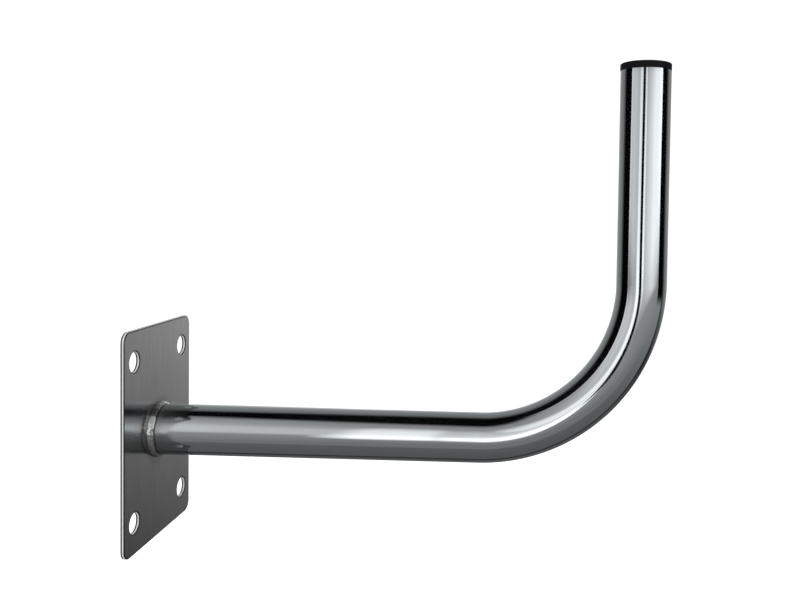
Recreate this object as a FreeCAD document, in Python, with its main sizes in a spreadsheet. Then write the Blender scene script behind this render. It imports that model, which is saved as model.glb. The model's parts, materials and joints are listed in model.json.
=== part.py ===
"""Wall bracket for a satellite dish: a plate, a bent steel tube welded to it, and the tube's end cap.

Frame: the origin is the middle of the plate's back, which lies against the wall. +X points away from
the wall along the arm, and +Z points up along the mast. All sizes are in millimetres.
"""
import FreeCAD, Part
import math
import os
import Sketcher

UPWARD = FreeCAD.Vector(0, 0, 1)

DIMENSIONS = {
    "plate_width": 100.0,
    "plate_height": 150.0,
    "plate_thick": 2.5,
    "plate_corner": 7.0,
    "plate_break": 0.4,
    "hole_dia": 14.0,
    "hole_pitch_across": 72.0,
    "hole_pitch_up": 108.0,
    "tube_dia": 35.0,
    "tube_wall": 2.0,
    "arm_reach": 340.0,
    "bend_radius": 110.0,
    "mast_top": 255.0,
    "bead_along_tube": 4.5,
    "bead_on_plate": 2.2,
    "bead_crown": 0.55,
    "head_thick": 5.0,
    "head_round": 0.9,
    "stem_length": 18.0,
    "stem_dia": 28.6,
    "stem_wall": 2.0,
    "stem_lead": 1.2,
    "rib_count": 8,
    "rib_width": 1.6,
    "rib_clearance": 0.05,
}

doc = FreeCAD.newDocument("DishWallBracket")
sheet = doc.addObject("Spreadsheet::Sheet", "Dims")
for row, (alias, value) in enumerate(DIMENSIONS.items(), start=1):
    sheet.set(f"A{row}", alias)
    sheet.set(f"B{row}", str(value))
    sheet.setAlias(f"B{row}", alias)
doc.recompute()


def add_body(label):
    """A new body whose label names its file."""
    body = doc.addObject("PartDesign::Body", label)
    body.Label = label
    return body


def origin_plane(body, role):
    """One of the body's own three origin planes."""
    return next(item for item in body.Origin.OriginFeatures if item.Role == role)


def add_sketch(body, name, role):
    """An empty sketch on one of the body's origin planes."""
    sketch = body.newObject("Sketcher::SketchObject", name)
    sketch.AttachmentSupport = [(origin_plane(body, role), "")]
    sketch.MapMode = "FlatFace"
    return sketch


def add_length(sketch, kind, geometry, formula, name):
    """A dimension constraint whose value follows a formula in the sheet's cells."""
    start_value = float(sketch.evalExpression(formula))
    index = sketch.addConstraint(Sketcher.Constraint(kind, *geometry, start_value))
    sketch.renameConstraint(index, name)
    sketch.setExpression(f"Constraints.{name}", formula)


def add_loop(sketch, points):
    """Straight lines from point to point and back to the first, joined at their ends."""
    count = len(points)
    for start, end in zip(points, points[1:] + points[:1]):
        sketch.addGeometry(Part.LineSegment(FreeCAD.Vector(*start, 0), FreeCAD.Vector(*end, 0)))
    for side in range(count):
        sketch.addConstraint(Sketcher.Constraint("Coincident", side, 2, (side + 1) % count, 1))


def add_rectangle(sketch, left, right, bottom, top):
    """Four joined lines: bottom, right, top and left, in that order."""
    add_loop(sketch, [(left, bottom), (right, bottom), (right, top), (left, top)])
    for side, direction in enumerate(("Horizontal", "Vertical", "Horizontal", "Vertical")):
        sketch.addConstraint(Sketcher.Constraint(direction, side))


def edges_where(shape, test):
    """The names of the edges that pass a test, for a fillet or chamfer."""
    return [f"Edge{number}" for number, edge in enumerate(shape.Edges, start=1) if test(edge)]


def make_wall_plate():
    """The flat plate with rounded corners and a hole near each corner."""
    body = add_body("wall_plate")
    size = DIMENSIONS

    outline = add_sketch(body, "PlateOutline", "YZ_Plane")
    half_w = size["plate_width"] / 2
    half_h = size["plate_height"] / 2
    add_rectangle(outline, -half_w, half_w, -half_h, half_h)
    outline.addConstraint(Sketcher.Constraint("Symmetric", 0, 1, 2, 1, -1, 1))
    add_length(outline, "DistanceX", (0, 1, 0, 2), "Dims.plate_width", "width")
    add_length(outline, "DistanceY", (1, 1, 1, 2), "Dims.plate_height", "height")

    pad = body.newObject("PartDesign::Pad", "PlatePad")
    pad.Profile = outline
    pad.setExpression("Length", "Dims.plate_thick")
    doc.recompute()

    def is_through_edge(edge):
        """An edge that runs through the plate's thickness."""
        return edge.BoundBox.XLength > size["plate_thick"] / 2

    rounding = body.newObject("PartDesign::Fillet", "PlateCorners")
    rounding.Base = (pad, edges_where(pad.Shape, is_through_edge))
    rounding.setExpression("Radius", "Dims.plate_corner")
    doc.recompute()

    def is_front_edge(edge):
        """An edge of the front face's outline."""
        return edge.BoundBox.XMin > size["plate_thick"] / 2

    edge_break = body.newObject("PartDesign::Fillet", "PlateFrontBreak")
    edge_break.Base = (rounding, edges_where(rounding.Shape, is_front_edge))
    edge_break.setExpression("Radius", "Dims.plate_break")
    doc.recompute()

    holes = add_sketch(body, "PlateHoles", "YZ_Plane")
    for across in (-1, 1):
        for up in (-1, 1):
            middle_across = across * size["hole_pitch_across"] / 2
            middle_up = up * size["hole_pitch_up"] / 2
            centre = FreeCAD.Vector(middle_across, middle_up, 0)
            circle = Part.Circle(centre, UPWARD, size["hole_dia"] / 2)
            index = holes.addGeometry(circle)
            tag = f"{'right' if across > 0 else 'left'}_{'top' if up > 0 else 'bottom'}"
            add_length(holes, "Diameter", (index,), "Dims.hole_dia", f"dia_{tag}")
            add_length(holes, "DistanceX", (-1, 1, index, 3), f"{across} * Dims.hole_pitch_across / 2",
                       f"across_{tag}")
            add_length(holes, "DistanceY", (-1, 1, index, 3), f"{up} * Dims.hole_pitch_up / 2",
                       f"up_{tag}")
    drilling = body.newObject("PartDesign::Pocket", "PlateDrilling")
    drilling.Profile = holes
    drilling.Reversed = True
    drilling.Type = "ThroughAll"
    doc.recompute()
    assert drilling.Shape.Volume < edge_break.Shape.Volume - 1.0, "the holes were not cut"
    return body


def make_bent_tube():
    """The round tube: a level arm, a quarter bend and an upright mast in one length."""
    body = add_body("bent_tube")
    size = DIMENSIONS

    section = add_sketch(body, "TubeSection", "YZ_Plane")
    for name, radius, formula in (
        ("outer", size["tube_dia"] / 2, "Dims.tube_dia / 2"),
        ("inner", size["tube_dia"] / 2 - size["tube_wall"], "Dims.tube_dia / 2 - Dims.tube_wall"),
    ):
        index = section.addGeometry(Part.Circle(FreeCAD.Vector(), UPWARD, radius))
        section.addConstraint(Sketcher.Constraint("Coincident", index, 3, -1, 1))
        add_length(section, "Radius", (index,), formula, name)
    section.setExpression(".AttachmentOffset.Base.z", "Dims.plate_thick")

    route = add_sketch(body, "TubeRoute", "XZ_Plane")
    foot = size["plate_thick"]
    reach = size["arm_reach"]
    radius = size["bend_radius"]
    middle = FreeCAD.Vector(reach - radius, radius, 0)
    bend = Part.ArcOfCircle(Part.Circle(middle, UPWARD, radius), -math.pi / 2, 0.0)
    route.addGeometry(Part.LineSegment(FreeCAD.Vector(foot, 0, 0),
                                       FreeCAD.Vector(reach - radius, 0, 0)))
    route.addGeometry(bend)
    route.addGeometry(Part.LineSegment(FreeCAD.Vector(reach, radius, 0),
                                       FreeCAD.Vector(reach, size["mast_top"], 0)))
    arm_line, bend_arc, mast_line = 0, 1, 2
    route.addConstraint(Sketcher.Constraint("PointOnObject", arm_line, 1, -1))
    route.addConstraint(Sketcher.Constraint("Horizontal", arm_line))
    route.addConstraint(Sketcher.Constraint("Vertical", mast_line))
    route.addConstraint(Sketcher.Constraint("Tangent", arm_line, 2, bend_arc, 1))
    route.addConstraint(Sketcher.Constraint("Tangent", bend_arc, 2, mast_line, 1))
    add_length(route, "DistanceX", (-1, 1, arm_line, 1), "Dims.plate_thick", "foot")
    add_length(route, "Radius", (bend_arc,), "Dims.bend_radius", "bend")
    add_length(route, "DistanceX", (-1, 1, mast_line, 2), "Dims.arm_reach", "reach")
    add_length(route, "DistanceY", (-1, 1, mast_line, 2), "Dims.mast_top", "top")
    doc.recompute()

    pipe = body.newObject("PartDesign::AdditivePipe", "TubeSweep")
    pipe.Profile = section
    pipe.Spine = (route, ["Edge1", "Edge2", "Edge3"])
    doc.recompute()
    return body


def make_weld_bead():
    """The ring of weld between the tube's foot and the plate's front face."""
    body = add_body("weld_bead")
    size = DIMENSIONS

    profile = add_sketch(body, "BeadProfile", "XZ_Plane")
    face = size["plate_thick"]
    skin = size["tube_dia"] / 2
    root = FreeCAD.Vector(face, skin, 0)
    plate_toe = FreeCAD.Vector(face, skin + size["bead_on_plate"], 0)
    tube_toe = FreeCAD.Vector(face + size["bead_along_tube"], skin, 0)
    outward = FreeCAD.Vector(size["bead_on_plate"], size["bead_along_tube"], 0).normalize()
    half_chord = (tube_toe - plate_toe).Length / 2
    surface_r = (half_chord ** 2 + size["bead_crown"] ** 2) / (2 * size["bead_crown"])
    middle = (plate_toe + tube_toe) / 2 + outward * (size["bead_crown"] - surface_r)
    start, end = (math.atan2(toe.y - middle.y, toe.x - middle.x) for toe in (tube_toe, plate_toe))
    profile.addGeometry(Part.LineSegment(tube_toe, root))
    profile.addGeometry(Part.LineSegment(root, plate_toe))
    profile.addGeometry(Part.ArcOfCircle(Part.Circle(middle, UPWARD, surface_r), start, end))
    on_tube, on_plate, surface = 0, 1, 2
    profile.addConstraint(Sketcher.Constraint("Horizontal", on_tube))
    profile.addConstraint(Sketcher.Constraint("Vertical", on_plate))
    profile.addConstraint(Sketcher.Constraint("Coincident", on_tube, 2, on_plate, 1))
    profile.addConstraint(Sketcher.Constraint("Coincident", on_plate, 2, surface, 2))
    profile.addConstraint(Sketcher.Constraint("Coincident", on_tube, 1, surface, 1))
    add_length(profile, "DistanceX", (-1, 1, on_tube, 2), "Dims.plate_thick", "face")
    add_length(profile, "DistanceY", (-1, 1, on_tube, 2), "Dims.tube_dia / 2", "skin")
    add_length(profile, "DistanceX", (on_tube, 2, on_tube, 1), "Dims.bead_along_tube", "along_tube")
    add_length(profile, "DistanceY", (on_plate, 1, on_plate, 2), "Dims.bead_on_plate", "on_plate")
    half_chord_squared = "(Dims.bead_along_tube ^ 2 + Dims.bead_on_plate ^ 2) / 4"
    surface_formula = f"({half_chord_squared} + Dims.bead_crown ^ 2) / (2 * Dims.bead_crown)"
    add_length(profile, "Radius", (surface,), surface_formula, "surface_radius")

    ring = body.newObject("PartDesign::Revolution", "BeadRing")
    ring.Profile = profile
    ring.ReferenceAxis = (profile, ["H_Axis"])
    ring.Angle = 360.0
    doc.recompute()
    return body


def make_end_cap():
    """The plastic plug that closes the mast: a round head on a hollow stem with gripping ribs."""
    body = add_body("end_cap")
    size = DIMENSIONS

    head_r = size["tube_dia"] / 2
    stem_r = size["stem_dia"] / 2
    bore_r = stem_r - size["stem_wall"]
    length = size["stem_length"]
    profile = add_sketch(body, "CapProfile", "XZ_Plane")
    corners = [
        (0.0, 0.0, "0", "0"),
        (bore_r, 0.0, "Dims.stem_dia / 2 - Dims.stem_wall", "0"),
        (bore_r, -length, "Dims.stem_dia / 2 - Dims.stem_wall", "-Dims.stem_length"),
        (stem_r, -length, "Dims.stem_dia / 2", "-Dims.stem_length"),
        (stem_r, 0.0, "Dims.stem_dia / 2", "0"),
        (head_r, 0.0, "Dims.tube_dia / 2", "0"),
        (head_r, size["head_thick"], "Dims.tube_dia / 2", "Dims.head_thick"),
        (0.0, size["head_thick"], "0", "Dims.head_thick"),
    ]
    add_loop(profile, [corner[:2] for corner in corners])
    for number, corner in enumerate(corners):
        for kind, formula in (("DistanceX", corner[2]), ("DistanceY", corner[3])):
            if formula == "0":
                axis = -2 if kind == "DistanceX" else -1
                profile.addConstraint(Sketcher.Constraint("PointOnObject", number, 1, axis))
            else:
                add_length(profile, kind, (-1, 1, number, 1), formula, f"{kind}_{number}")
    turned = body.newObject("PartDesign::Revolution", "CapTurned")
    turned.Profile = profile
    turned.ReferenceAxis = (profile, ["V_Axis"])
    turned.Angle = 360.0
    doc.recompute()

    rib = add_sketch(body, "CapRib", "XY_Plane")
    half = size["rib_width"] / 2
    inner = bore_r + size["stem_wall"] / 2
    outer = head_r - size["tube_wall"] - size["rib_clearance"]
    add_rectangle(rib, inner, outer, -half, half)
    add_length(rib, "DistanceY", (1, 1, 1, 2), "Dims.rib_width", "width")
    add_length(rib, "DistanceY", (-1, 1, 1, 2), "Dims.rib_width / 2", "half_width")
    outer_formula = "Dims.tube_dia / 2 - Dims.tube_wall - Dims.rib_clearance"
    add_length(rib, "DistanceX", (-1, 1, 1, 1), outer_formula, "outer")
    add_length(rib, "DistanceX", (-1, 1, 3, 1), "(Dims.stem_dia - Dims.stem_wall) / 2", "inner")
    rib_pad = body.newObject("PartDesign::Pad", "CapRibPad")
    rib_pad.Profile = rib
    rib_pad.Reversed = True
    rib_pad.setExpression("Length", "Dims.stem_length - Dims.stem_lead")
    doc.recompute()

    ribs = body.newObject("PartDesign::PolarPattern", "CapRibs")
    ribs.Originals = [rib_pad]
    ribs.Axis = (rib, ["N_Axis"])
    ribs.Angle = 360.0
    ribs.setExpression("Occurrences", "Dims.rib_count")
    body.Tip = ribs
    doc.recompute()
    assert ribs.Shape.Volume > rib_pad.Shape.Volume + 1.0, "the ribs were not repeated"

    def is_head_rim(edge):
        """The outer edge of the head's top face."""
        return edge.BoundBox.ZMin > size["head_thick"] / 2 and edge.BoundBox.XLength > head_r

    rim = body.newObject("PartDesign::Fillet", "CapRim")
    rim.Base = (ribs, edges_where(ribs.Shape, is_head_rim))
    rim.setExpression("Radius", "Dims.head_round")
    body.Tip = rim
    body.setExpression(".Placement.Base.x", "Dims.arm_reach")
    body.setExpression(".Placement.Base.z", "Dims.mast_top")
    doc.recompute()
    return body


nodes = [make_wall_plate(), make_bent_tube(), make_weld_bead(), make_end_cap()]
doc.recompute()

for item in doc.Objects:
    assert not {"Invalid", "Error"} & set(item.State), f"{item.Name} failed: {item.State}"
os.makedirs("parts", exist_ok=True)
for node in nodes:
    assert not node.Shape.isNull() and node.Shape.isValid(), f"{node.Label} has no valid shape"
    assert len(node.Shape.Solids) == 1, f"{node.Label} is not one solid"
for node in nodes:
    node.Shape.exportStep(f"parts/{node.Label}.step")
    box = node.Shape.BoundBox
    print(f"{node.Label}: volume {node.Shape.Volume:.1f} mm3, X {box.XMin:.2f} to {box.XMax:.2f},"
          f" Y {box.YMin:.2f} to {box.YMax:.2f}, Z {box.ZMin:.2f} to {box.ZMax:.2f}")
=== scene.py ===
"""The looks of the satellite dish wall bracket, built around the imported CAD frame.

Everything is in metres in the CAD frame: the origin is the middle of the wall plate's back,
+X runs out along the arm and +Z up along the mast.
"""
import json
import math

import bmesh
import bpy
from mathutils import Matrix, Vector, noise


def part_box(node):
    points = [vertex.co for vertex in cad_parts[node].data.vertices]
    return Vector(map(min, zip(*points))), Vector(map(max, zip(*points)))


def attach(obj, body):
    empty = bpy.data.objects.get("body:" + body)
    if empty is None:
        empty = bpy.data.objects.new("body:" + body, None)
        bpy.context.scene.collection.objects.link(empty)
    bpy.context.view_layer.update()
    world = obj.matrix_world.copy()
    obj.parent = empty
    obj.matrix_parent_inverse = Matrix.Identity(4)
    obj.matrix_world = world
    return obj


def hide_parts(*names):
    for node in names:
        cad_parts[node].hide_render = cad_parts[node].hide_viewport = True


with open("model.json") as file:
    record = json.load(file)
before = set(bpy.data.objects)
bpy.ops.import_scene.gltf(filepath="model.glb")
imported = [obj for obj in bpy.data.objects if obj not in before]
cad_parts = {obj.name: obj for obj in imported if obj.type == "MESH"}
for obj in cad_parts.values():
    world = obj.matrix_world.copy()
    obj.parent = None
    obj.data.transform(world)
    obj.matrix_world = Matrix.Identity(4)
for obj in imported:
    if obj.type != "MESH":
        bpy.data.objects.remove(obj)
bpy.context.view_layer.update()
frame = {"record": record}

MM = 0.001
FULL_TURN = 2 * math.pi


# ---------------------------------------------------------------- sizes, read from the frame
def mount(name):
    """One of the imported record's mounts."""
    return next(item for item in frame["record"]["mounts"] if item["name"] == name)


PLATE_LOW, PLATE_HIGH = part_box("wall_plate")
TUBE_LOW, TUBE_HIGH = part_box("bent_tube")
BEAD_LOW, BEAD_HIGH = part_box("weld_bead")
CAP_LOW, CAP_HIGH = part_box("end_cap")

PLATE_CORNER = 7.0 * MM
PLATE_BREAK = 0.4 * MM
HOLES = mount("wall_bolts")["dims"]
HOLE_R = HOLES["hole_r_mm"] * MM
HOLE_ACROSS = HOLES["spacing_x_mm"] * MM / 2
HOLE_UP = HOLES["spacing_y_mm"] * MM / 2

TUBE_R = TUBE_HIGH.y
TUBE_WALL = 2.0 * MM
TUBE_FOOT = TUBE_LOW.x
MAST_TOP = TUBE_HIGH.z
REACH = TUBE_HIGH.x - TUBE_R
BEND_R = MAST_TOP - mount("mast")["dims"]["length_mm"] * MM

BEAD_ALONG = BEAD_HIGH.x - BEAD_LOW.x
BEAD_OUT = BEAD_HIGH.y - TUBE_R

CAP_R = CAP_HIGH.y
HEAD_THICK = CAP_HIGH.z - MAST_TOP
STEM_LENGTH = MAST_TOP - CAP_LOW.z


# ---------------------------------------------------------------- mesh helpers
def add_mesh(name, points, faces, replaced, material):
    """A smooth-shaded mesh object that stands for one CAD node and rides on the root body."""
    mesh = bpy.data.meshes.new(name)
    mesh.from_pydata([tuple(p) for p in points], [], faces)
    mesh.validate()
    work = bmesh.new()
    work.from_mesh(mesh)
    bmesh.ops.recalc_face_normals(work, faces=work.faces)
    work.to_mesh(mesh)
    work.free()
    mesh.shade_smooth()
    piece = bpy.data.objects.new(name, mesh)
    bpy.context.scene.collection.objects.link(piece)
    mesh.materials.append(material)
    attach(piece, "root")
    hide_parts(replaced)
    return piece


def weight_normals(piece):
    """Flat faces keep flat shading next to their rounded edges."""
    modifier = piece.modifiers.new("even_normals", "WEIGHTED_NORMAL")
    modifier.weight = 100


def stitch(faces, ring_a, ring_b):
    """Quads between two closed rings of vertex numbers of the same length."""
    count = len(ring_a)
    for i in range(count):
        j = (i + 1) % count
        faces.append((ring_a[i], ring_a[j], ring_b[j], ring_b[i]))


def add_ring(points, ring):
    """Adds a ring of points and returns their vertex numbers."""
    first = len(points)
    points.extend(ring)
    return list(range(first, first + len(ring)))


# ---------------------------------------------------------------- material helpers
# Near black, for the weld's toe line: burnt metal and painted shade of the crease between bead and
# tube.
SCORCH_AND_SHADE = (0.05, 0.048, 0.045, 1)


def new_material(name):
    """An empty node material with its Principled shader."""
    material = bpy.data.materials.new(name)
    material.use_nodes = True
    tree = material.node_tree
    return material, tree, tree.nodes["Principled BSDF"]


def put(tree, kind, settings=None, **inputs):
    """Adds a node. Inputs are given by name, as a value or as another node's output to link."""
    made = tree.nodes.new(kind)
    for key, value in (settings or {}).items():
        setattr(made, key, value)
    for key, value in inputs.items():
        connect(tree, made.inputs[key.replace("_", " ")], value)
    return made


def connect(tree, socket, value):
    """Links an output to a socket, or sets the socket's own value."""
    if isinstance(value, bpy.types.NodeSocket):
        tree.links.new(value, socket)
    else:
        socket.default_value = value


def object_place(tree):
    """The place on the piece, in metres."""
    return put(tree, "ShaderNodeTexCoord").outputs["Object"]


def axis_of(tree, vector, axis):
    """A vector's number along one axis."""
    return put(tree, "ShaderNodeSeparateXYZ", Vector=vector).outputs[axis]


def show(tree, shader, kind="ShaderNodeOutputMaterial"):
    """Sends a shader to the surface output."""
    output = put(tree, kind)
    tree.links.new(shader.outputs[0], output.inputs["Surface"])


def choose(tree, share, first, second):
    """A shader between two shaders."""
    made = put(tree, "ShaderNodeMixShader")
    connect(tree, made.inputs[0], share)
    connect(tree, made.inputs[1], first.outputs[0])
    connect(tree, made.inputs[2], second.outputs[0])
    return made


def noise_of(tree, place, stretch, size, detail=3.0, rough=0.5, distort=0.0):
    """Noise whose grains are `size` across, drawn out along each axis by `stretch`."""
    scale = tuple(1.0 / (size * pull) for pull in stretch)
    mapped = put(tree, "ShaderNodeVectorMath", {"operation": "MULTIPLY"})
    connect(tree, mapped.inputs[0], place)
    connect(tree, mapped.inputs[1], scale)
    made = put(tree, "ShaderNodeTexNoise", Vector=mapped.outputs[0], Scale=1.0,
               Detail=detail, Roughness=rough, Distortion=distort)
    return made.outputs[0]


def remap(tree, value, low, high, to_low, to_high, smooth=False):
    """Carries a value from one range to another, clamped."""
    kind = "SMOOTHSTEP" if smooth else "LINEAR"
    made = put(tree, "ShaderNodeMapRange", {"interpolation_type": kind}, Value=value,
               From_Min=low, From_Max=high, To_Min=to_low, To_Max=to_high)
    return made.outputs[0]


def calc(tree, operation, *terms):
    """One arithmetic step."""
    made = put(tree, "ShaderNodeMath", {"operation": operation})
    for socket, term in zip(made.inputs, terms):
        connect(tree, socket, term)
    return made.outputs[0]


def blend(tree, share, first, second):
    """A colour between two colours."""
    made = put(tree, "ShaderNodeMix", {"data_type": "RGBA"})
    connect(tree, made.inputs[0], share)
    connect(tree, made.inputs[6], first)
    connect(tree, made.inputs[7], second)
    return made.outputs[2]


def bump(tree, height, depth, strength=1.0, below=None):
    """A normal from a height that runs from 0 to 1 over `depth` metres."""
    made = put(tree, "ShaderNodeBump", Strength=strength, Distance=depth, Height=height)
    if below is not None:
        connect(tree, made.inputs["Normal"], below)
    return made.outputs[0]


# ---------------------------------------------------------------- materials
def tube_material():
    """Polished steel: fine lines along the tube, faint haze, and heat marks beside the weld, with a
    dark line at the weld's toe that is burnt metal and painted shade of the crease.
    """
    material, tree, shader = new_material("tube_steel")
    skin = put(tree, "ShaderNodeAttribute", {"attribute_name": "skin"}).outputs["Vector"]
    along = axis_of(tree, skin, "Z")

    lines = noise_of(tree, skin, (1, 1, 160), 0.35 * MM, detail=4.0)
    haze = noise_of(tree, skin, (1, 1, 2.5), 22 * MM, detail=4.0, rough=0.6)
    specks = noise_of(tree, skin, (1, 1, 1), 1.4 * MM, detail=2.0)
    ripple = noise_of(tree, skin, (1, 1, 3), 9 * MM, detail=1.0)

    ragged = calc(tree, "MULTIPLY_ADD", noise_of(tree, skin, (1, 1, 1), 2.5 * MM), 5 * MM, -2.5 * MM)
    distance = calc(tree, "ADD", along, ragged)
    toe = TUBE_FOOT + BEAD_ALONG
    near_weld = remap(tree, distance, toe, toe + 7 * MM, 1.0, 0.0, True)
    dressed = remap(tree, distance, toe + 6 * MM, toe + 24 * MM, 1.0, 0.0, True)
    # Painted shade: a thin dark line at the weld's toe, burnt metal with the shade of the crease.
    at_toe = remap(tree, along, toe - 0.2 * MM, toe + 0.9 * MM, 1.0, 0.0)

    clean = blend(tree, haze, (0.65, 0.688, 0.703, 1), (0.72, 0.757, 0.772, 1))
    lined = blend(tree, remap(tree, lines, 0.35, 0.7, 0.0, 0.12), clean, (0.52, 0.55, 0.565, 1))
    tinted = blend(tree, calc(tree, "MULTIPLY", near_weld, 0.4), lined, (0.46, 0.42, 0.37, 1))
    scorched_and_shaded = blend(tree, calc(tree, "MULTIPLY", at_toe, 0.9), tinted, SCORCH_AND_SHADE)
    connect(tree, shader.inputs["Base Color"], scorched_and_shaded)

    polish = remap(tree, haze, 0.3, 0.75, 0.05, 0.10)
    dull = calc(tree, "MULTIPLY_ADD", near_weld, 0.10, calc(tree, "MULTIPLY", dressed, 0.11))
    speckled = remap(tree, specks, 0.62, 0.75, 0.0, 0.05)
    roughness = calc(tree, "ADD", calc(tree, "ADD", polish, dull), speckled)
    connect(tree, shader.inputs["Roughness"], roughness)
    waves = bump(tree, ripple, 0.02 * MM, 0.5)
    connect(tree, shader.inputs["Normal"], bump(tree, lines, 0.001 * MM, 0.5, waves))
    shader.inputs["Metallic"].default_value = 1.0
    return material


def plate_material():
    """Brushed sheet steel: vertical grain, cloudy patches, light scratches, a heat mark round the
    weld, and cut edges that are dark where they broke and bright where they were sheared."""
    material, tree, shader = new_material("plate_steel")
    place = object_place(tree)
    parts = put(tree, "ShaderNodeSeparateXYZ", Vector=place)

    grain = noise_of(tree, place, (1, 1, 90), 0.28 * MM, detail=4.0, rough=0.6)
    streaks = noise_of(tree, place, (1, 1, 24), 2.6 * MM, detail=3.0)
    clouds = noise_of(tree, place, (1, 1, 1), 26 * MM, detail=4.0, rough=0.55)
    scratches = noise_of(tree, place, (1, 30, 1.4), 0.5 * MM, detail=1.0, distort=0.4)

    cloudy = blend(tree, clouds, (0.37, 0.37, 0.374, 1), (0.44, 0.44, 0.444, 1))
    streaked = blend(tree, remap(tree, streaks, 0.35, 0.7, 0.0, 0.35), cloudy, (0.28, 0.28, 0.284, 1))
    grained = blend(tree, remap(tree, grain, 0.4, 0.7, 0.0, 0.4), streaked, (0.52, 0.52, 0.52, 1))
    scored = blend(tree, remap(tree, scratches, 0.7, 0.76, 0.0, 0.2), grained, (0.56, 0.56, 0.555, 1))
    squares = [calc(tree, "MULTIPLY", parts.outputs[axis], parts.outputs[axis]) for axis in "YZ"]
    off_axis = calc(tree, "SQRT", calc(tree, "ADD", *squares))
    depth = parts.outputs["X"]
    ragged = calc(tree, "MULTIPLY", calc(tree, "SUBTRACT", clouds, 0.5), 14 * MM)
    from_skin = calc(tree, "ABSOLUTE", calc(tree, "SUBTRACT", off_axis, TUBE_R))
    from_weld = calc(tree, "ADD", from_skin, ragged)
    glow = remap(tree, from_weld, BEAD_OUT, BEAD_OUT + 6 * MM, 1.0, 0.0, True)
    heated = calc(tree, "MULTIPLY", glow, remap(tree, depth, 0.5 * MM, 2 * MM, 0.12, 0.5))
    darkened = blend(tree, heated, scored, (0.22, 0.21, 0.20, 1))
    rim = put(tree, "ShaderNodeAttribute", {"attribute_name": "rim"}).outputs["Fac"]
    rolled = blend(tree, calc(tree, "MULTIPLY", rim, 0.9), darkened, (0.035, 0.035, 0.036, 1))
    sheared = remap(tree, depth, 0.9 * MM, 1.2 * MM, 0.0, 1.0)
    cut = blend(tree, sheared, (0.03, 0.03, 0.031, 1), (0.66, 0.66, 0.66, 1))
    in_edge = calc(tree, "MULTIPLY", rim, remap(tree, depth, 1.95 * MM, 2.1 * MM, 1.0, 0.0))
    connect(tree, shader.inputs["Base Color"], blend(tree, in_edge, rolled, cut))
    rough = remap(tree, clouds, 0.3, 0.7, 0.12, 0.17)
    grainy = calc(tree, "ADD", rough, remap(tree, grain, 0.3, 0.7, -0.02, 0.03))
    dull = calc(tree, "MULTIPLY_ADD", heated, 0.12, calc(tree, "MULTIPLY", in_edge, 0.3))
    connect(tree, shader.inputs["Roughness"], calc(tree, "ADD", grainy, dull))
    connect(tree, shader.inputs["Normal"], bump(tree, grain, 0.004 * MM, 0.7))
    connect(tree, shader.inputs["Metallic"], calc(tree, "MULTIPLY_ADD", in_edge, -0.7, 1.0))
    return material


def weld_material():
    """Bare weld metal, brighter on its ripples, dark between them, and dark at its toe with burnt
    metal and painted shade of the crease against the tube.
    """
    material, tree, shader = new_material("weld_steel")
    place = object_place(tree)
    crest = put(tree, "ShaderNodeAttribute", {"attribute_name": "crest"}).outputs["Fac"]
    blotch = noise_of(tree, place, (1, 1, 1), 2.5 * MM, detail=4.0)
    grit = noise_of(tree, place, (1, 1, 1), 0.35 * MM, detail=3.0)

    bare = blend(tree, blotch, (0.49, 0.495, 0.50, 1), (0.60, 0.61, 0.62, 1))
    oxide = blend(tree, remap(tree, crest, 0.0, 0.5, 0.3, 0.0), bare, (0.15, 0.15, 0.15, 1))
    toe = PLATE_HIGH.x + BEAD_ALONG
    height = axis_of(tree, place, "X")
    # Painted shade: the bead darkens at its toe against the tube, burnt metal with the shade of the
    # crease.
    at_toe = remap(tree, height, toe - 0.9 * MM, toe - 0.1 * MM, 0.0, 0.9)
    burnt_and_shaded = blend(tree, at_toe, oxide, SCORCH_AND_SHADE)
    connect(tree, shader.inputs["Base Color"], burnt_and_shaded)
    connect(tree, shader.inputs["Roughness"], remap(tree, blotch, 0.3, 0.7, 0.2, 0.3))
    connect(tree, shader.inputs["Normal"], bump(tree, grit, 0.006 * MM, 0.5))
    shader.inputs["Metallic"].default_value = 1.0
    return material


def cap_material():
    """Black moulded polyethylene with a fine spark-eroded texture and scuffs, its top face painted
    lighter grey as a painted highlight of the light from above.
    """
    material, tree, shader = new_material("cap_plastic")
    place = object_place(tree)
    texture = noise_of(tree, place, (1, 1, 1), 0.22 * MM, detail=3.0)
    cloud = noise_of(tree, place, (1, 1, 1), 7 * MM, detail=4.0)
    scuffs = noise_of(tree, place, (12, 1, 1), 0.5 * MM, detail=2.0, distort=1.2)
    height = axis_of(tree, place, "Z")
    on_top = remap(tree, height, CAP_HIGH.z - 0.5 * MM, CAP_HIGH.z - 0.15 * MM, 0.0, 1.0)

    dyed = blend(tree, cloud, (0.002, 0.002, 0.0023, 1), (0.005, 0.005, 0.0055, 1))
    # Painted highlight: the top face gets a lighter grey, as where light from above falls.
    lit_top_tone = blend(tree, cloud, (0.016, 0.016, 0.017, 1), (0.034, 0.034, 0.036, 1))
    faced = blend(tree, on_top, dyed, lit_top_tone)
    # Scuff marks, painted lighter on the top face as a painted highlight.
    scuffs_lit_on_top = blend(tree, on_top, (0.02, 0.02, 0.021, 1), (0.085, 0.085, 0.088, 1))
    marked = blend(tree, remap(tree, scuffs, 0.58, 0.70, 0.0, 0.5), faced, scuffs_lit_on_top)
    connect(tree, shader.inputs["Base Color"], marked)
    connect(tree, shader.inputs["Roughness"], remap(tree, cloud, 0.3, 0.7, 0.45, 0.6))
    connect(tree, shader.inputs["Normal"], bump(tree, texture, 0.03 * MM, 0.5))
    shader.inputs["Specular IOR Level"].default_value = 0.1
    return material


# ---------------------------------------------------------------- wall plate
ARC_STEPS = 20
HOLE_STEPS = 96
EDGE_STEPS = 5
BACK_BREAK = PLATE_BREAK / 3
WORN_BAND = 0.8 * MM


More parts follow.
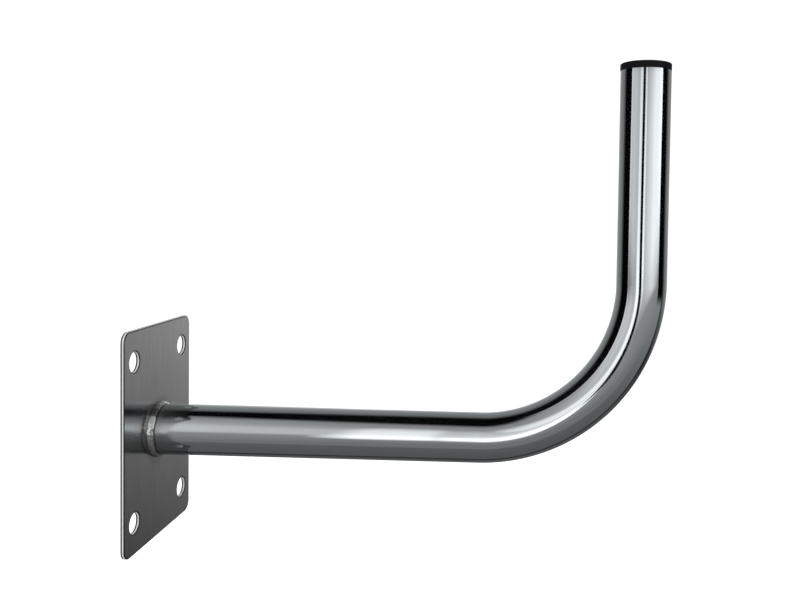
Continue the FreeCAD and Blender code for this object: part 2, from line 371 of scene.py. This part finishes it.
def plate_outline(inset):
    """The rounded rectangle as (y, z) points, drawn in by `inset` on all sides."""
    radius = PLATE_CORNER - inset
    points = []
    for turn, (side_y, side_z) in enumerate(((1, 1), (-1, 1), (-1, -1), (1, -1))):
        middle_y = side_y * (PLATE_HIGH.y - PLATE_CORNER)
        middle_z = side_z * (PLATE_HIGH.z - PLATE_CORNER)
        for step in range(ARC_STEPS + 1):
            angle = (turn + step / ARC_STEPS) * math.pi / 2
            points.append((middle_y + radius * math.cos(angle),
                           middle_z + radius * math.sin(angle)))
    return points


def hole_outline(middle_y, middle_z, outset):
    """A hole's circle as (y, z) points, widened by `outset`."""
    radius = HOLE_R + outset
    return [(middle_y + radius * math.cos(FULL_TURN * i / HOLE_STEPS),
             middle_z + radius * math.sin(FULL_TURN * i / HOLE_STEPS)) for i in range(HOLE_STEPS)]


def edge_profile(front_round, back_round):
    """(inset, x) pairs that run round an edge from the back face to the front face."""
    pairs = []
    for step in range(EDGE_STEPS + 1):
        angle = step / EDGE_STEPS * math.pi / 2
        pairs.append((back_round * (1 - math.sin(angle)),
                      PLATE_LOW.x + back_round * (1 - math.cos(angle))))
    for step in range(EDGE_STEPS + 1):
        angle = step / EDGE_STEPS * math.pi / 2
        pairs.append((front_round * (1 - math.cos(angle)),
                      PLATE_HIGH.x - front_round * (1 - math.sin(angle))))
    return pairs


def build_wall_plate():
    """The plate: sheared outer edge and punched holes, rolled over in front and sharp behind."""
    points, faces, rim = [], [], []
    border = {"back": [], "front": []}
    centres = [(y * HOLE_ACROSS, z * HOLE_UP) for y in (-1, 1) for z in (-1, 1)]
    outlines = [plate_outline]
    for middle in centres:
        outlines.append(lambda inset, at=middle: hole_outline(*at, inset))
    inner = PLATE_BREAK + WORN_BAND
    edge = edge_profile(PLATE_BREAK, BACK_BREAK)
    profile = [(inner, PLATE_LOW.x)] + edge + [(inner, PLATE_HIGH.x)]
    for outline in outlines:
        rings = []
        for inset, x in profile:
            rings.append(add_ring(points, [Vector((x, y, z)) for y, z in outline(inset)]))
            rim += [float(inset < inner)] * len(rings[-1])
        for ring_a, ring_b in zip(rings, rings[1:]):
            stitch(faces, ring_a, ring_b)
        border["back"].append(rings[0])
        border["front"].append(rings[-1])

    work = bmesh.new()
    corners = [work.verts.new(p) for p in points]
    for face in faces:
        work.faces.new([corners[i] for i in face])
    for side in ("back", "front"):
        edges = []
        for ring in border[side]:
            for i, j in zip(ring, ring[1:] + ring[:1]):
                edges.append(work.edges.get((corners[i], corners[j])))
        bmesh.ops.triangle_fill(work, use_beauty=True, use_dissolve=False, edges=edges)
    work.verts.index_update()
    all_points = [v.co.copy() for v in work.verts]
    all_faces = [[v.index for v in f.verts] for f in work.faces]
    work.free()
    piece = add_mesh("wall_plate_sheet", all_points, all_faces, "wall_plate",
                     plate_material())
    attribute = piece.data.attributes.new("rim", "FLOAT", "POINT")
    attribute.data.foreach_set("value", rim)
    weight_normals(piece)


# ---------------------------------------------------------------- bent tube
ROUND_STEPS = 128
BEND_STEPS = 90
STRAIGHT_STEPS = 40
TUBE_EASE = 0.25 * MM
# How much the bend flattens the tube, and how much of that it gains in width.
BEND_FLAT = 0.012
BEND_WIDEN = 0.7


def tube_route():
    """(centre, inward normal, distance from the wall, share of flattening) along the tube."""
    stops = []
    arm_end = REACH - BEND_R
    for step in range(STRAIGHT_STEPS):
        x = TUBE_FOOT + (arm_end - TUBE_FOOT) * step / STRAIGHT_STEPS
        stops.append((Vector((x, 0, 0)), Vector((0, 0, 1)), x, 0.0))
    for step in range(BEND_STEPS + 1):
        angle = step / BEND_STEPS * math.pi / 2
        inward = Vector((-math.sin(angle), 0, math.cos(angle)))
        centre = Vector((arm_end, 0, BEND_R)) - inward * BEND_R
        share = math.sin(2 * angle) ** 0.5 if 0 < step < BEND_STEPS else 0.0
        stops.append((centre, inward, arm_end + BEND_R * angle, share))
    bend_end = arm_end + BEND_R * math.pi / 2
    for step in range(1, STRAIGHT_STEPS + 1):
        rise = (MAST_TOP - BEND_R) * step / STRAIGHT_STEPS
        stops.append((Vector((REACH, 0, BEND_R + rise)), Vector((-1, 0, 0)), bend_end + rise, 0.0))
    return stops


def tube_ring(stop, radius):
    """One ring round the tube, a little flattened in the bend as a drawn bend is."""
    centre, inward, _, share = stop
    flat = BEND_FLAT * share
    ring = []
    for i in range(ROUND_STEPS):
        angle = FULL_TURN * i / ROUND_STEPS
        ring.append(centre + inward * (radius * (1 - flat) * math.cos(angle))
                    + Vector((0, radius * (1 + flat * BEND_WIDEN) * math.sin(angle), 0)))
    return ring


def build_bent_tube():
    """The tube's outer skin and bore, with eased rims, and its unrolled place for the material."""
    stops = tube_route()
    bore_r = TUBE_R - TUBE_WALL
    points, faces, skin = [], [], []

    def add_wall(radius, chosen):
        """Rings of one wall; returns their vertex numbers."""
        rings = []
        for stop in chosen:
            rings.append(add_ring(points, tube_ring(stop, radius)))
            for i in range(ROUND_STEPS):
                angle = FULL_TURN * i / ROUND_STEPS
                skin.append((radius * math.cos(angle), radius * math.sin(angle), stop[2]))
        return rings

    def shifted(stop, distance):
        """A stop moved along the tube from one of its ends."""
        direction = Vector((0, 1, 0)).cross(stop[1])
        return (stop[0] + direction * distance, stop[1], stop[2] + distance, stop[3])

    foot, top = stops[0], stops[-1]
    between = [shifted(foot, TUBE_EASE)] + stops[1:-1] + [shifted(top, -TUBE_EASE)]
    walls = add_wall(TUBE_R - TUBE_EASE, [foot])
    walls += add_wall(TUBE_R, between)
    walls += add_wall(TUBE_R - TUBE_EASE, [top])
    walls += add_wall(bore_r + TUBE_EASE, [top])
    walls += add_wall(bore_r, between[::-1])
    walls += add_wall(bore_r + TUBE_EASE, [foot])
    for ring_a, ring_b in zip(walls, walls[1:] + walls[:1]):
        stitch(faces, ring_a, ring_b)
    piece = add_mesh("bent_tube_skin", points, faces, "bent_tube", tube_material())
    attribute = piece.data.attributes.new("skin", "FLOAT_VECTOR", "POINT")
    attribute.data.foreach_set("vector", [number for place in skin for number in place])
    weight_normals(piece)


# ---------------------------------------------------------------- weld bead
RIPPLES = 66
STEPS_PER_RIPPLE = 16
BEAD_STEPS = 18
BEAD_CROWN = 0.55 * MM
# The bead's usual share of its full size along the tube and on the plate, and how much it varies.
BEAD_ALONG_SHARE = 0.94
BEAD_OUT_SHARE = 0.93
BEAD_UNEVEN = 0.12
CROWN_UNEVEN = 0.35
RIPPLE_DEPTH = 0.05 * MM
# How far a ripple's ends trail behind its middle and how far it wanders, in ripples.
RIPPLE_TRAIL = 0.75
RIPPLE_WANDER = 0.5


def build_weld_bead():
    """The weld: overlapping crescent ripples laid round the tube's foot, uneven as hand work is."""
    points, faces, crest = [], [], []
    steps = RIPPLES * STEPS_PER_RIPPLE
    rings = []
    for i in range(steps):
        angle = FULL_TURN * i / steps
        out = Vector((0, math.cos(angle), math.sin(angle)))
        here = Vector((math.cos(angle), math.sin(angle), 0)) * 4
        along = BEAD_ALONG * (BEAD_ALONG_SHARE + BEAD_UNEVEN * noise.noise(here))
        wide = BEAD_OUT * (BEAD_OUT_SHARE + BEAD_UNEVEN * noise.noise(here + Vector((0, 0, 7))))
        swell = BEAD_CROWN * (0.9 + CROWN_UNEVEN * noise.noise(here * 1.6 + Vector((0, 0, 3))))
        normal = (Vector((wide, 0, 0)) + out * along).normalized()
        plate_toe = Vector((PLATE_HIGH.x, 0, 0)) + out * (TUBE_R + wide)
        tube_toe = Vector((PLATE_HIGH.x + along, 0, 0)) + out * TUBE_R
        ring = []
        for j in range(BEAD_STEPS + 1):
            t = j / BEAD_STEPS
            bow = 4 * t * (1 - t)
            wander = RIPPLE_WANDER * noise.noise(here * 5)
            phase = i / STEPS_PER_RIPPLE + RIPPLE_TRAIL * (2 * t - 1) ** 2 + wander
            hump = 1 - (2 * (phase - math.floor(phase)) - 1) ** 2
            lift = swell * bow + RIPPLE_DEPTH * (hump - 0.8) * min(1.0, bow * 1.6)
            ring.append(plate_toe.lerp(tube_toe, t) + normal * lift)
            crest.append(hump * min(1.0, bow * 3 + 0.1))
        ring.append(Vector((PLATE_HIGH.x, 0, 0)) + out * TUBE_R)
        crest.append(0.0)
        rings.append(add_ring(points, ring))
    for ring_a, ring_b in zip(rings, rings[1:] + rings[:1]):
        stitch(faces, ring_a, ring_b)
    piece = add_mesh("weld_bead_ring", points, faces, "weld_bead", weld_material())
    attribute = piece.data.attributes.new("crest", "FLOAT", "POINT")
    attribute.data.foreach_set("value", crest)


# ---------------------------------------------------------------- end cap
CAP_STEPS = 128
RIB_COUNT = 8
STEM_R = 14.3 * MM
STEM_WALL = 2.0 * MM
CAP_CROWN = 0.2 * MM
CAP_RIM = 0.9 * MM
CAP_FOOT_ROUND = 0.4 * MM
GATE_R = 1.6 * MM
GATE_DEPTH = 0.25 * MM
GATE_DISH = 0.06 * MM
STEM_EASE = 0.3 * MM
STEM_LEAD = 0.5 * MM
BORE_EASE = 0.6 * MM
CROWN_STEPS = 12
RIM_STEPS = 10
FOOT_STEPS = 6
RIB_LEAD = 1.2 * MM
RIB_TAPER = 2.0 * MM
RIB_HALF_WIDTH = 0.8 * MM
RIB_CLEARANCE = 0.05 * MM
RIB_SLOPE = 0.35 * MM
RIB_EDGE = 0.3 * MM


def cap_profile():
    """The cap's half section from the top's middle, as (radius, height above the tube's rim)."""
    gate_floor = HEAD_THICK - GATE_DEPTH
    gate_lip = GATE_R * 1.25
    profile = [(0.0, gate_floor), (GATE_R * 0.7, gate_floor)]
    profile += [(GATE_R, HEAD_THICK - GATE_DISH), (gate_lip, HEAD_THICK)]
    shoulder = CAP_R - CAP_RIM
    for step in range(1, CROWN_STEPS + 1):
        share = step / CROWN_STEPS
        profile.append((gate_lip + (shoulder - gate_lip) * share,
                        HEAD_THICK - CAP_CROWN * share ** 3))
    top_of_rim = HEAD_THICK - CAP_CROWN
    for step in range(1, RIM_STEPS + 1):
        angle = step / RIM_STEPS * math.pi / 2
        profile.append((shoulder + CAP_RIM * math.sin(angle),
                        top_of_rim - CAP_RIM * (1 - math.cos(angle))))
    for step in range(FOOT_STEPS + 1):
        angle = step / FOOT_STEPS * math.pi / 2
        profile.append((CAP_R - CAP_FOOT_ROUND * (1 - math.cos(angle)),
                        CAP_FOOT_ROUND * (1 - math.sin(angle))))
    profile += [(STEM_R + STEM_EASE, 0.0), (STEM_R, -STEM_EASE)]
    profile += [(STEM_R, -STEM_LENGTH + STEM_LEAD), (STEM_R - STEM_LEAD, -STEM_LENGTH)]
    bore = STEM_R - STEM_WALL
    profile += [(bore + STEM_EASE, -STEM_LENGTH), (bore, -STEM_LENGTH + STEM_EASE)]
    profile += [(bore, -BORE_EASE), (bore - BORE_EASE, 0.0), (0.0, 0.0)]
    return profile


def add_ribs(points, faces):
    """The tapered ribs down the stem, each a six-sided block through three levels."""
    root = STEM_R - STEM_WALL / 2
    reach_top = TUBE_R - TUBE_WALL - RIB_CLEARANCE
    low = -STEM_LENGTH + RIB_LEAD
    tube_top = Vector((REACH, 0, MAST_TOP))
    # Height, how far out the rib reaches, and how much of its width its outer face keeps.
    levels_down = ((-0.05 * MM, reach_top, 0.55), (low + RIB_TAPER, reach_top - RIB_SLOPE, 0.55),
                   (low, STEM_R + 0.1 * MM, 0.8))
    for rib in range(RIB_COUNT):
        turn = Matrix.Rotation(FULL_TURN * rib / RIB_COUNT, 4, "Z")
        levels = []
        for height, reach, nose in levels_down:
            half, side = RIB_HALF_WIDTH, reach - RIB_EDGE
            section = [(root, -half), (side, -half), (reach, -half * nose),
                       (reach, half * nose), (side, half), (root, half)]
            ring = [turn @ Vector((x, y, height)) + tube_top for x, y in section]
            levels.append(add_ring(points, ring))
        for ring_a, ring_b in zip(levels, levels[1:]):
            stitch(faces, ring_a, ring_b)
        faces.append(tuple(levels[0]))
        faces.append(tuple(levels[-1]))


def build_end_cap():
    """The plug: a round head and a hollow stem with ribs down it."""
    points, faces, rings = [], [], []
    for radius, height in cap_profile():
        level = Vector((REACH, 0, MAST_TOP + height))
        if radius == 0.0:
            rings.append(add_ring(points, [level]))
            continue
        ring = []
        for i in range(CAP_STEPS):
            angle = FULL_TURN * i / CAP_STEPS
            ring.append(level + radius * Vector((math.cos(angle), math.sin(angle), 0)))
        rings.append(add_ring(points, ring))
    for ring_a, ring_b in zip(rings, rings[1:]):
        if len(ring_a) == 1 or len(ring_b) == 1:
            tip, rim = (ring_a[0], ring_b) if len(ring_a) == 1 else (ring_b[0], ring_a)
            faces.extend((tip, rim[i], rim[(i + 1) % CAP_STEPS]) for i in range(CAP_STEPS))
        else:
            stitch(faces, ring_a, ring_b)
    add_ribs(points, faces)
    piece = add_mesh("end_cap_plug", points, faces, "end_cap", cap_material())
    weight_normals(piece)


# ---------------------------------------------------------------- studio
# The soft box stands in front of the bracket. Along it: metres along X, then brightness.
BOX_Y = -0.6
BOX_Z = (-0.5, 4.0)
BOX_ALONG = [
    (-1.30, 0.98), (-1.0, 0.84), (-0.80, 0.68), (-0.30, 0.75), (-0.15, 0.66), (0.340, 0.66),
    (0.38, 0.72), (0.47, 0.85), (0.63, 1.05), (0.80, 1.28), (1.20, 1.30), (1.70, 1.45), (2.30, 1.60),
]
# Up its height: height over distance from the mast, then a share of the brightness along it.
BOX_UP = [
    (-0.06, 0.0), (-0.02, 0.15), (0.05, 0.68), (0.125, 0.95), (0.195, 1.0), (0.445, 0.95),
    (0.625, 0.72), (0.87, 0.55), (1.23, 0.47), (1.47, 0.38), (1.67, 0.20), (2.0, 0.04), (2.2, 0.0),
]
# The dim cloth that hangs below the box, up the same heights.
CLOTH_UP = [(-0.42, 0.22), (-0.17, 0.29), (-0.02, 0.32), (0.10, 0.32), (0.16, 0.0)]
# A brighter tube lies low in the box. It has the same two lists: along X, and up its height.
TUBE_ALONG = [(-0.07, 0.0), (0.03, 1.0), (0.125, 1.0), (0.185, 0.0)]
TUBE_UP = [
    (-0.21, 0.0), (-0.13, 0.60), (-0.07, 1.3), (0.0, 1.6), (0.07, 1.6), (0.13, 1.38),
    (0.20, 1.26), (0.30, 1.18), (0.45, 1.10), (0.60, 0.94), (0.83, 0.5), (1.17, 0.0),
]
# It goes on towards the mast as a thinner line.
LINE_ALONG = [(0.11, 0.0), (0.15, 1.0), (0.17, 1.0), (0.21, 1.25), (0.245, 1.35), (0.265, 0.0)]
LINE_UP = [
    (-0.21, 0.0), (-0.13, 0.60), (-0.07, 1.3), (0.0, 1.6), (0.07, 1.55), (0.13, 1.20),
    (0.20, 0.90), (0.30, 0.74), (0.45, 0.68), (0.60, 0.60), (0.83, 0.4), (1.17, 0.0),
]
# An upright one stands nearer the mast.
POST_ALONG = [(0.20, 0.0), (0.22, 1.0), (0.345, 1.0), (0.355, 0.0)]
POST_UP = [(0.04, 0.0), (0.12, 1.4), (0.45, 1.12), (0.83, 0.65), (1.17, 0.0)]
# A narrow black flag stands close to the mast: its sides along X, its distance along Y, and the
# heights where it has faded out below, where it is solid and where it ends above.
FLAG_X = (0.2625, 0.3105)
FLAG_Y = -0.25
FLAG_Z = (0.016, 0.036, 0.36)
# Round the room: degrees from the bracket's own plane towards the front (negative is behind).
ROOM_BEHIND = [
    (-90, 1.9), (-80, 1.6), (-72, 0.8), (-64, 0.50), (-54, 0.32), (-34, 0.23), (-25, 0.19),
    (-18, 0.07), (-11, 0.0), (90, 0.0),
]
# How that changes with degrees above the level, and the same for the front, which takes over
# from what is behind over a few degrees.
BEHIND_BY_HEIGHT = [
    (-90, 0.6), (-45, 0.45), (-36, 0.38), (-30, 0.20), (-26, 0.20), (-20, 0.40), (-14, 0.66),
    (-8, 0.95), (-4, 1.0), (90, 1.0),
]
FRONT_BY_HEIGHT = [
    (-90, 0.11), (-70, 0.12), (-45, 0.14), (-30, 0.19), (-20, 0.24), (-12, 0.29), (-9, 0.0),
    (90, 0.0),
]
FRONT_TAKES_OVER = (-15, -9)
WHITE_SURROUND = 1.12
FLOOR_HALF = 12.0
FLOOR_Z = -0.32


def ramp(tree, value, stops):
    """Follows (value, brightness) stops, level beyond both ends."""
    low, high = stops[0][0], stops[-1][0]
    curve = put(tree, "ShaderNodeFloatCurve", Value=remap(tree, value, low, high, 0.0, 1.0))
    line = curve.mapping.curves[0]
    top = max(level for _, level in stops)
    places = [((at - low) / (high - low), level / top) for at, level in stops]
    while len(line.points) < len(places):
        line.points.new(0.5, 0.5)
    for point, place in zip(line.points, places):
        point.location = place
        point.handle_type = "VECTOR"
    curve.mapping.update()
    return calc(tree, "MULTIPLY", curve.outputs[0], top)


def add_screen(name, y, across, heights):
    """An upright rectangle that only reflections show; returns its empty material tree."""
    (left, right), (low, high) = across, heights
    mesh = bpy.data.meshes.new(name)
    corners = [(left, y, low), (right, y, low), (right, y, high), (left, y, high)]
    mesh.from_pydata(corners, [], [(0, 1, 2, 3)])
    screen = bpy.data.objects.new(name, mesh)
    bpy.context.scene.collection.objects.link(screen)
    screen.visible_camera = False
    screen.visible_diffuse = False
    screen.visible_transmission = False
    screen.visible_volume_scatter = False
    screen.visible_shadow = False
    material = bpy.data.materials.new(name)
    material.use_nodes = True
    material.node_tree.nodes.clear()
    mesh.materials.append(material)
    return material.node_tree


def build_world():
    """A white surround for the eye and for plain light, and a dim room for the steel to mirror."""
    world = bpy.data.worlds.new("studio")
    bpy.context.scene.world = world
    world.use_nodes = True
    tree = world.node_tree
    tree.nodes.clear()
    direction = put(tree, "ShaderNodeTexCoord").outputs["Generated"]
    parts = put(tree, "ShaderNodeSeparateXYZ", Vector=direction)
    to_degrees = 180 / math.pi
    forward = calc(tree, "MULTIPLY", calc(tree, "ARCSINE", parts.outputs["Y"]), -to_degrees)
    upward = calc(tree, "MULTIPLY", calc(tree, "ARCSINE", parts.outputs["Z"]), to_degrees)
    behind = calc(tree, "MULTIPLY", ramp(tree, forward, ROOM_BEHIND),
                  ramp(tree, upward, BEHIND_BY_HEIGHT))
    in_front = remap(tree, forward, *FRONT_TAKES_OVER, 0.0, 1.0)
    lit = calc(tree, "MULTIPLY_ADD", in_front, ramp(tree, upward, FRONT_BY_HEIGHT), behind)
    mirrored = put(tree, "ShaderNodeBackground", Color=lit, Strength=1.0)
    seen = put(tree, "ShaderNodeBackground", Color=(1, 1, 1, 1), Strength=WHITE_SURROUND)
    glossy = put(tree, "ShaderNodeLightPath").outputs["Is Glossy Ray"]
    show(tree, choose(tree, glossy, seen, mirrored), "ShaderNodeOutputWorld")


def build_soft_box():
    """A long soft box with three brighter strips in it and a dim cloth under it."""
    tree = add_screen("soft_box", BOX_Y, (BOX_ALONG[0][0], BOX_ALONG[-1][0]), BOX_Z)
    parts = put(tree, "ShaderNodeSeparateXYZ", Vector=object_place(tree))
    across = parts.outputs["X"]
    from_mast = calc(tree, "SUBTRACT", across, REACH)
    squared = calc(tree, "MULTIPLY_ADD", from_mast, from_mast, BOX_Y * BOX_Y)
    rise = calc(tree, "DIVIDE", parts.outputs["Z"], calc(tree, "SQRT", squared))
    brightest = ramp(tree, rise, CLOTH_UP)
    for along, up in ((BOX_ALONG, BOX_UP), (TUBE_ALONG, TUBE_UP), (LINE_ALONG, LINE_UP),
                      (POST_ALONG, POST_UP)):
        source = calc(tree, "MULTIPLY", ramp(tree, across, along), ramp(tree, rise, up))
        brightest = calc(tree, "MAXIMUM", brightest, source)
    show(tree, put(tree, "ShaderNodeEmission", Color=brightest, Strength=1.0))


def build_flag():
    """The narrow black flag that draws the fine dark line down the mast."""
    faded, solid, top = FLAG_Z
    tree = add_screen("flag", FLAG_Y, FLAG_X, (faded, top))
    share = remap(tree, axis_of(tree, object_place(tree), "Z"), faded, solid, 0.0, 1.0, True)
    clear = put(tree, "ShaderNodeBsdfTransparent")
    black = put(tree, "ShaderNodeEmission", Color=(0, 0, 0, 1), Strength=0.0)
    show(tree, choose(tree, share, clear, black))


def build_floor():
    """A plain pale floor well below the bracket, which hangs on a wall."""
    corners = [(x * FLOOR_HALF, y * FLOOR_HALF, FLOOR_Z)
               for x, y in ((-1, -1), (1, -1), (1, 1), (-1, 1))]
    mesh = bpy.data.meshes.new("floor")
    mesh.from_pydata(corners, [], [(0, 1, 2, 3)])
    floor = bpy.data.objects.new("floor", mesh)
    bpy.context.scene.collection.objects.link(floor)
    material, tree, shader = new_material("floor_paint")
    mottle = noise_of(tree, object_place(tree), (1, 1, 1), 0.4, detail=3.0)
    painted = blend(tree, mottle, (0.96, 0.96, 0.96, 1), (0.98, 0.98, 0.98, 1))
    connect(tree, shader.inputs["Base Color"], painted)
    shader.inputs["Roughness"].default_value = 0.9
    shader.inputs["Specular IOR Level"].default_value = 0.1
    mesh.materials.append(material)
    floor.visible_glossy = False


def build_lamp(name, place, target, size, power):
    """A soft square lamp that the steel doesn't mirror."""
    lamp = bpy.data.lights.new(name, "AREA")
    lamp.shape = "SQUARE"
    lamp.size = size
    lamp.energy = power
    holder = bpy.data.objects.new(name, lamp)
    holder.location = place
    holder.rotation_euler = (Vector(target) - Vector(place)).to_track_quat("-Z", "Y").to_euler()
    holder.visible_glossy = False
    bpy.context.scene.collection.objects.link(holder)


def build_camera():
    """The photographer's view: level with the bend, from the bracket's left side."""
    place = Vector((0.2622, -0.5591, 0.1570))
    yaw, pitch, roll = 0.036, 0.034, -0.016
    focal_in_widths = 1.010
    level_forward = Vector((-math.sin(yaw), math.cos(yaw), 0))
    forward = level_forward * math.cos(pitch) + Vector((0, 0, -math.sin(pitch)))
    level_right = Vector((math.cos(yaw), math.sin(yaw), 0))
    level_down = forward.cross(level_right)
    right = level_right * math.cos(roll) + level_down * math.sin(roll)
    upward = level_right * math.sin(roll) - level_down * math.cos(roll)
    camera = bpy.data.cameras.new("photo_camera")
    camera.sensor_width = 36.0
    camera.lens = focal_in_widths * camera.sensor_width
    camera.shift_x = -0.125
    camera.shift_y = -0.075
    camera.clip_start = 0.01
    holder = bpy.data.objects.new("photo_camera", camera)
    axes = Matrix((right, upward, -forward)).transposed()
    holder.matrix_world = Matrix.Translation(place) @ axes.to_4x4()
    bpy.context.scene.collection.objects.link(holder)
    bpy.context.scene.camera = holder


build_camera()
build_world()
build_soft_box()
build_flag()
build_floor()
build_lamp("overhead", place=(0.2, -0.3, 1.6), target=(0.2, 0, 0), size=1.6, power=14.0)
build_wall_plate()
build_bent_tube()
build_weld_bead()
build_end_cap()
bpy.context.scene.view_settings.view_transform = "Standard"

bpy.context.view_layer.update()
